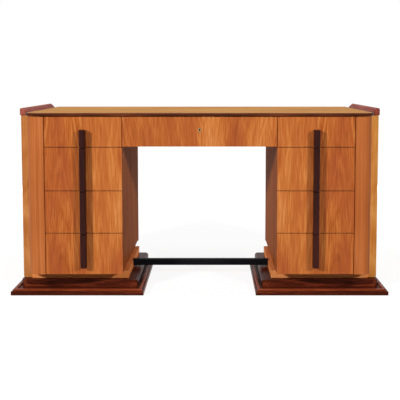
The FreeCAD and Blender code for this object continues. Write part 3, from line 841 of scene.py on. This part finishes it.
@dataclass
class Workshop:
    """Finishes and trees made once, laid on pieces by name."""

    softener: Tree = field(default_factory=edge_softener)
    made: dict[str, bpy.types.Material] = field(default_factory=dict)
    trees: dict[Head, Tree] = field(default_factory=lambda: {head: fixing_tree(head) for head in Head})

    def material(self, finish: Finish) -> bpy.types.Material:
        """Give the material of a finish, made on first use.

        Args:
            finish: Finish that is asked for.

        Returns:
            Its one material.
        """
        if finish.name not in self.made:
            self.made[finish.name] = finish.material()
        return self.made[finish.name]

    def finish(self, name: str, finish: Finish, edge: float = 0.6) -> None:
        """Lay a finish on a CAD piece and soften its edges.

        Args:
            name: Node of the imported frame.
            finish: Finish that the piece takes.
            edge: Width of the softened edges in millimetres, or 0 for edges left crisp.
        """
        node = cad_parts[name]
        for slot in node.material_slots:
            slot.link = "OBJECT"
            slot.material = self.material(finish)
        curves = node.modifiers.new("soft_curves", "NODES")
        curves.node_group = self.softener
        if edge:
            bevel = node.modifiers.new("soft_edges", "BEVEL")
            bevel.width = edge * MM
            bevel.segments = EDGE_FACETS
            bevel.limit_method = "ANGLE"
            bevel.angle_limit = math.radians(EDGE_ANGLE)
            bevel.harden_normals = True
        log.info("%s: %s", name, finish.name)

    def fix(self, name: str, body: str, fixing: Fixing, points: list[Point], facing: Point) -> None:
        """Set screws or pins of brass at points of a body.

        Args:
            name: Name of the new piece.
            body: Body that it moves with.
            fixing: Sizes and shape of the heads.
            points: Middles of the heads on the surface, in metres.
            facing: Direction that the heads look in.
        """
        mesh = bpy.data.meshes.new(name)
        mesh.from_pydata(points, [], [])
        piece = new_object(name, mesh)
        modifier = piece.modifiers.new("fixings", "NODES")
        tree = self.trees[fixing.head]
        modifier.node_group = tree
        inputs = {
            "Radius": fixing.radius * MM, "Rise": fixing.rise * MM,
            "Slot Width": fixing.slot_width * MM, "Slot Depth": fixing.slot_depth * MM,
            "Facing": facing, "Seed": len(name), "Finish": self.material(LOCK_BRASS),
        }
        items = [item for item in tree.interface.items_tree if item.in_out == "INPUT"]
        sockets = {item.name: item.identifier for item in items}
        for label, value in inputs.items():
            modifier[sockets[label]] = value
        graph = bpy.context.evaluated_depsgraph_get()
        piece.data = bpy.data.meshes.new_from_object(piece.evaluated_get(graph))
        piece.modifiers.remove(modifier)
        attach(piece, body)
        log.info("%s: %d heads on %s", name, len(points), body)


@dataclass
class WritingTop:
    """Top board in its edge band, on the board that ties the pedestals: sizes in millimetres."""

    shop: Workshop
    edge: float = 0.6

    def build(self) -> None:
        """Lay the finishes on the top."""
        finishes = {
            "top_board": TOP_WALNUT, "top_edge_band": BAND_ROSEWOOD,
            "sub_top": CARCASS_PINE, "knee_back_apron": SIDE_WALNUT,
        }
        for piece, finish in finishes.items():
            self.shop.finish(piece, finish, self.edge)


@dataclass
class Pedestal:
    """One pedestal with its plinth, end and drawers.

    The pulls' edges are in millimetres, and their screws are let in by a share of a pull's length.
    """

    shop: Workshop
    side: str
    slab: Timber
    pull_edge: float = 1.2
    pull_screw: Fixing = Fixing(Head.SLOTTED, radius=4.0, rise=1.0, slot_width=1.0, slot_depth=0.6)
    screw_inset_share: float = 0.22

    def build(self) -> None:
        """Model the screws that hold the pulls and dress the pedestal."""
        for level in LEVELS:
            self.pull_screws(level)
        self.dress()

    def pull_screws(self, level: str) -> None:
        """Set the two screws of a pull into the back of its drawer front.

        Args:
            level: Which drawer of the bank.
        """
        drawer = f"{self.side}_{level}_drawer"
        low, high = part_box(f"{drawer}_pull")
        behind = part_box(f"{drawer}_front")[1].y
        middle = (low.x + high.x) / 2
        inset = self.screw_inset_share * (high.z - low.z)
        points = [(middle, behind, height) for height in (low.z + inset, high.z - inset)]
        self.shop.fix(f"{drawer}_pull_screws", drawer, self.pull_screw, points, TO_BACK)

    def dress(self) -> None:
        """Lay the finishes on the pedestal."""
        finishes = {
            "plinth_base": PLINTH_ROSEWOOD, "plinth_block": BLOCK_ROSEWOOD, "end_rail": RAIL_ROSEWOOD_PAINTED_SHEEN,
            "base_neck": NECK_WALNUT_PAINTED_LIGHT, "corner_post": POST_WALNUT, "end_slab": self.slab,
            "inner_side": KNEE_WALNUT_PAINTED_SHADE, "outer_side": self.slab, "back_panel": SIDE_WALNUT,
            "guide_panel": CARCASS_PINE, "dust_boards": CARCASS_PINE, "centre_runner": CARCASS_PINE,
        }
        for piece, finish in finishes.items():
            self.shop.finish(f"{self.side}_{piece}", finish)
        for level in LEVELS:
            name = f"{self.side}_{level}_drawer"
            self.shop.finish(f"{name}_front", BANK_WALNUT)
            self.shop.finish(f"{name}_box", LINING_OAK, CRISP)
            self.shop.finish(f"{name}_pull", PULL_EBONY, self.pull_edge)


@dataclass
class FriezeDrawer:
    """Drawer over the knee hole with its lock: sizes in millimetres."""

    shop: Workshop
    lock_edge: float = 0.2
    lock_screw: Fixing = Fixing(Head.SLOTTED, radius=2.8, rise=0.8)
    lock_screw_inset: float = 6.0
    strike_screw: Fixing = Fixing(Head.SLOTTED, radius=2.4, rise=0.6, slot_width=0.6, slot_depth=0.35)
    strike_screw_inset: float = 5.5
    pin: Fixing = Fixing(Head.DOMED, radius=0.9, rise=0.6)
    pin_inset: float = 1.5
    eye_radius: float = 3.1
    eye_rise: float = 2.9
    eye_points: int = 20
    slot_half_width: float = 1.6
    slot_reach: float = 8.9
    cup_wall: float = 0.5
    cup_depth: float = 12.0
    key_pin_radius: float = 1.1
    key_pin_length: float = 8.0

    def build(self) -> None:
        """Model the lock's keyway, screws and pins and dress the drawer."""
        self.keyway()
        self.lock_screws()
        self.strike_screws()
        self.plate_pins()
        self.dress()

    def keyhole_outline(self, inset: float) -> list[tuple[float, float]]:
        """Draw the keyhole about its eye, in millimetres.

        Args:
            inset: How far the outline is drawn in from the hole's walls.

        Returns:
            Points sideways and up, running round the eye and then the slot.
        """
        radius = self.eye_radius - inset
        half = self.slot_half_width - inset
        foot = self.slot_reach - inset
        opening = math.asin(half / radius)
        step = 2 * (math.pi - opening) / (self.eye_points - 1)
        angles = [opening - math.pi / 2 + step * place for place in range(self.eye_points)]
        arc = [(radius * math.cos(angle), radius * math.sin(angle)) for angle in angles]
        return arc + [(-half, -foot), (half, -foot)]

    def key_pin_outline(self) -> list[tuple[float, float]]:
        """Draw the round pin that the key turns on, in millimetres.

        Returns:
            Points sideways and up, running round the pin.
        """
        radius = self.key_pin_radius
        angles = [math.tau * place / self.eye_points for place in range(self.eye_points)]
        return [(radius * math.cos(angle), radius * math.sin(angle)) for angle in angles]

    def keyway(self) -> None:
        """Line the keyhole with a near-black iron cup, open to the front, that holds the key's pin:
        painted shade for the keyhole's depth.
        """
        low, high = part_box("centre_drawer_escutcheon")
        eye = (low + high) / 2 + Vector((0, 0, self.eye_rise * MM))
        wall = self.keyhole_outline(0.0)
        hollow = self.keyhole_outline(self.cup_wall)
        pin = self.key_pin_outline()
        rings = {
            "rim": (wall, 0.0), "mouth": (hollow, 0.0), "bed": (hollow, self.cup_depth),
            "back": (wall, self.cup_depth + self.cup_wall),
            "pin_tip": (pin, self.cup_depth - self.key_pin_length), "pin_foot": (pin, self.cup_depth),
        }
        points = []
        loops = {}
        for name, (outline, depth) in rings.items():
            loops[name] = range(len(points), len(points) + len(outline))
            points += [(eye.x + x * MM, high.y + depth * MM, eye.z + z * MM) for x, z in outline]
        faces = [tuple(loops["bed"]), tuple(reversed(loops["back"]))]
        faces += [tuple(loops["pin_tip"]), tuple(reversed(loops["pin_foot"]))]
        walls = (("rim", "mouth"), ("mouth", "bed"), ("back", "rim"), ("pin_foot", "pin_tip"))
        for near, far in walls:
            here, there = loops[near], loops[far]
            for place, start in enumerate(here):
                after = (place + 1) % len(here)
                faces.append((start, here[after], there[after], there[place]))
        mesh = bpy.data.meshes.new("keyhole_shade_cup")
        mesh.from_pydata(points, [], faces)
        mesh.materials.append(self.shop.material(KEYHOLE_SHADE_IRON))
        cup = new_object("keyhole_shade_cup", mesh)
        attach(cup, "centre_drawer")
        log.info("keyhole_shade_cup: %d faces on centre_drawer", len(faces))

    def lock_screws(self) -> None:
        """Set four screws into the back of the lock case."""
        low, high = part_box("lock_case")
        inset = self.lock_screw_inset * MM
        heights = (low.z + inset, high.z - inset)
        points = [(x, high.y, z) for x in (low.x + inset, high.x - inset) for z in heights]
        self.shop.fix("lock_case_screws", "centre_drawer", self.lock_screw, points, TO_BACK)

    def strike_screws(self) -> None:
        """Set two screws into the strike plate from below."""
        low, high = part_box("lock_strike_plate")
        inset = self.strike_screw_inset * MM
        points = [(x, (low.y + high.y) / 2, low.z) for x in (low.x + inset, high.x - inset)]
        self.shop.fix("strike_plate_screws", "carcass", self.strike_screw, points, TO_FLOOR)

    def plate_pins(self) -> None:
        """Drive two domed pins through the keyhole plate."""
        low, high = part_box("centre_drawer_escutcheon")
        inset = self.pin_inset * MM
        points = [((low.x + high.x) / 2, low.y, z) for z in (low.z + inset, high.z - inset)]
        self.shop.fix("keyhole_plate_pins", "centre_drawer", self.pin, points, TO_FRONT)

    def dress(self) -> None:
        """Lay the finishes on the drawer and its lock."""
        self.shop.finish("centre_drawer_front", FRIEZE_WALNUT, CRISP)
        self.shop.finish("centre_drawer_box", LINING_OAK, CRISP)
        for piece in ("lock_case", "lock_bolt", "lock_strike_plate", "centre_drawer_escutcheon"):
            self.shop.finish(piece, LOCK_BRASS, self.lock_edge)


@dataclass
class FootBar:
    """Black bar across the knee hole: sizes in millimetres."""

    shop: Workshop
    edge: float = 0.8

    def build(self) -> None:
        """Lay the lacquer on the bar."""
        self.shop.finish("stretcher_bar", BAR_LACQUER, self.edge)


@dataclass(frozen=True)
class Lamp:
    """Soft square lamp: places in metres from the desk, and its angle aside in degrees.

    Its share is the part of plain white light that it gives to the upright faces that look its way.
    It isn't mirrored, so it leaves no glare on polished wood.
    """

    name: str
    share: float
    angle: float
    depth: float
    height: float
    size: float = 0.8

    def hang(self, aim: Vector) -> None:
        """Hang the lamp and turn it to the desk.

        Args:
            aim: Point that it faces.
        """
        sideways = abs(self.depth) * math.tan(math.radians(self.angle))
        place = Vector((sideways, aim.y + self.depth, self.height))
        way = aim - place
        light = bpy.data.lights.new(self.name, "AREA")
        # Light falls off with the square of the distance, and reaches an upright face at a slant.
        light.energy = self.share * math.pi ** 2 * way.length ** 3 / abs(self.depth)
        light.size = self.size
        lamp = new_object(self.name, light)
        lamp.location = place
        lamp.rotation_euler = way.to_track_quat("-Z", "Y").to_euler()
        lamp.visible_camera = False
        lamp.visible_glossy = False


@dataclass
class Studio:
    """Pale floor, white surroundings, soft lamps round the desk and the camera.

    Places are in metres, the roof lamp's power in watts, the camera's pitch in degrees, and its lens and
    sensor in millimetres.
    """

    floor_half: float = 14.0
    floor_tone: float = 0.2
    glow_near: float = 0.89
    glow_far: float = 1.0
    glow_start: float = 1.1
    glow_end: float = 3.2
    fill: float = 0.03
    lamps: tuple[Lamp, ...] = (
        Lamp("left_lamp", share=0.52, angle=-42.0, depth=-6.0, height=3.42),
        Lamp("right_lamp", share=0.37, angle=41.0, depth=-6.0, height=3.42),
        Lamp("low_lamp", share=0.06, angle=0.0, depth=-6.0, height=0.3),
        Lamp("left_back_lamp", share=0.16, angle=-25.0, depth=3.4, height=0.5),
        Lamp("right_back_lamp", share=0.16, angle=25.0, depth=3.4, height=0.5),
    )
    aim: Point = (0.0, -0.35, 0.45)
    roof_power: float = 24.0
    roof_size: tuple[float, float] = (2.2, 1.0)
    roof_place: Point = (0.0, 0.25, 2.9)
    camera_place: Point = (0.0529, -3.6432, 0.9167)
    camera_pitch: float = 4.5
    camera_lens: float = 70.214
    camera_sensor: float = 36.0
    camera_shift: tuple[float, float] = (-0.0302, -0.1504)

    def build(self) -> None:
        """Set up the floor, the surroundings, the lamps and the camera."""
        self.floor()
        self.surroundings()
        for lamp in self.lamps:
            lamp.hang(Vector(self.aim))
        self.roof()
        self.camera()

    def seen(self, tree: Tree) -> Socket:
        """Tell the rays that show the background to the camera, a reflection or a glass.

        Args:
            tree: Tree of the background's material.

        Returns:
            1 for such a ray and 0 for one that lights the desk.
        """
        rays = add(tree, "ShaderNodeLightPath").node.outputs
        direct = {0: rays["Is Camera Ray"], 1: rays["Is Glossy Ray"]}
        shown = add(tree, "ShaderNodeMath", direct, operation="MAXIMUM")
        either = {0: shown, 1: rays["Is Transmission Ray"]}
        return add(tree, "ShaderNodeMath", either, operation="MAXIMUM")

    def floor(self) -> None:
        """Lay a pale matt floor that keeps a soft shadow near the desk and fades to white."""
        half = self.floor_half
        mesh = bpy.data.meshes.new("floor")
        corners = [(-half, -half), (half, -half), (half, half), (-half, half)]
        mesh.from_pydata([(x, y, -FLOOR_DROP) for x, y in corners], [], [(0, 1, 2, 3)])
        floor = new_object("floor", mesh)
        material = new_material("pale_paper_floor")
        tree = material.node_tree
        place = add(tree, "ShaderNodeTexCoord").node.outputs["Object"]
        away = add(tree, "ShaderNodeVectorMath", {0: place}, operation="LENGTH").node.outputs["Value"]
        rise = add(
            tree, "ShaderNodeMapRange",
            {
                "Value": away, "From Min": self.glow_start, "From Max": self.glow_end,
                "To Min": self.glow_near, "To Max": self.glow_far,
            },
        )
        glow = add(tree, "ShaderNodeMath", {0: self.seen(tree), 1: rise}, operation="MULTIPLY")
        matt = add(tree, "ShaderNodeBsdfDiffuse", {"Color": (self.floor_tone,) * 3 + (1,)})
        light = add(tree, "ShaderNodeEmission", {"Color": WHITE, "Strength": glow})
        both = add(tree, "ShaderNodeAddShader", {0: matt, 1: light})
        add(tree, "ShaderNodeOutputMaterial", {"Surface": both})
        mesh.materials.append(material)

    def surroundings(self) -> None:
        """Surround the desk with white that the camera sees and a dim fill that lights it."""
        world = bpy.data.worlds.new("studio")
        world.use_nodes = True
        tree = world.node_tree
        tree.nodes.clear()
        fill = add(tree, "ShaderNodeBackground", {"Color": WHITE, "Strength": self.fill})
        white = add(tree, "ShaderNodeBackground", {"Color": WHITE, "Strength": 1.0})
        mixed = add(tree, "ShaderNodeMixShader", {0: self.seen(tree), 1: fill, 2: white})
        add(tree, "ShaderNodeOutputWorld", {"Surface": mixed})
        bpy.context.scene.world = world

    def roof(self) -> None:
        """Hang a wide soft lamp over the top, facing down."""
        light = bpy.data.lights.new("roof_lamp", "AREA")
        light.energy = self.roof_power
        light.shape = "RECTANGLE"
        light.size, light.size_y = self.roof_size
        lamp = new_object("roof_lamp", light)
        lamp.location = self.roof_place
        lamp.visible_camera = False

    def camera(self) -> None:
        """Place the camera in front of the desk, a little above its top."""
        lens = bpy.data.cameras.new("camera")
        lens.lens = self.camera_lens
        lens.sensor_width = self.camera_sensor
        lens.shift_x, lens.shift_y = self.camera_shift
        camera = new_object("camera", lens)
        camera.location = self.camera_place
        camera.rotation_euler = (math.radians(RIGHT_ANGLE - self.camera_pitch), 0, 0)
        bpy.context.scene.camera = camera


def main() -> None:
    """Build the desk's classes in order, then the studio."""
    bpy.context.scene.view_settings.view_transform = "Standard"
    shop = Workshop()
    # The right end takes the paler copy of the slab walnut, which is painted light.
    slabs = {"left": SLAB_WALNUT, "right": RIGHT_SLAB_PAINTED_LIGHT}
    assemblies = [WritingTop(shop), FriezeDrawer(shop), FootBar(shop)]
    assemblies += [Pedestal(shop, side, slab) for side, slab in slabs.items()]
    for assembly in assemblies:
        assembly.build()
    Studio().build()


if __name__ == "__main__":
    main()
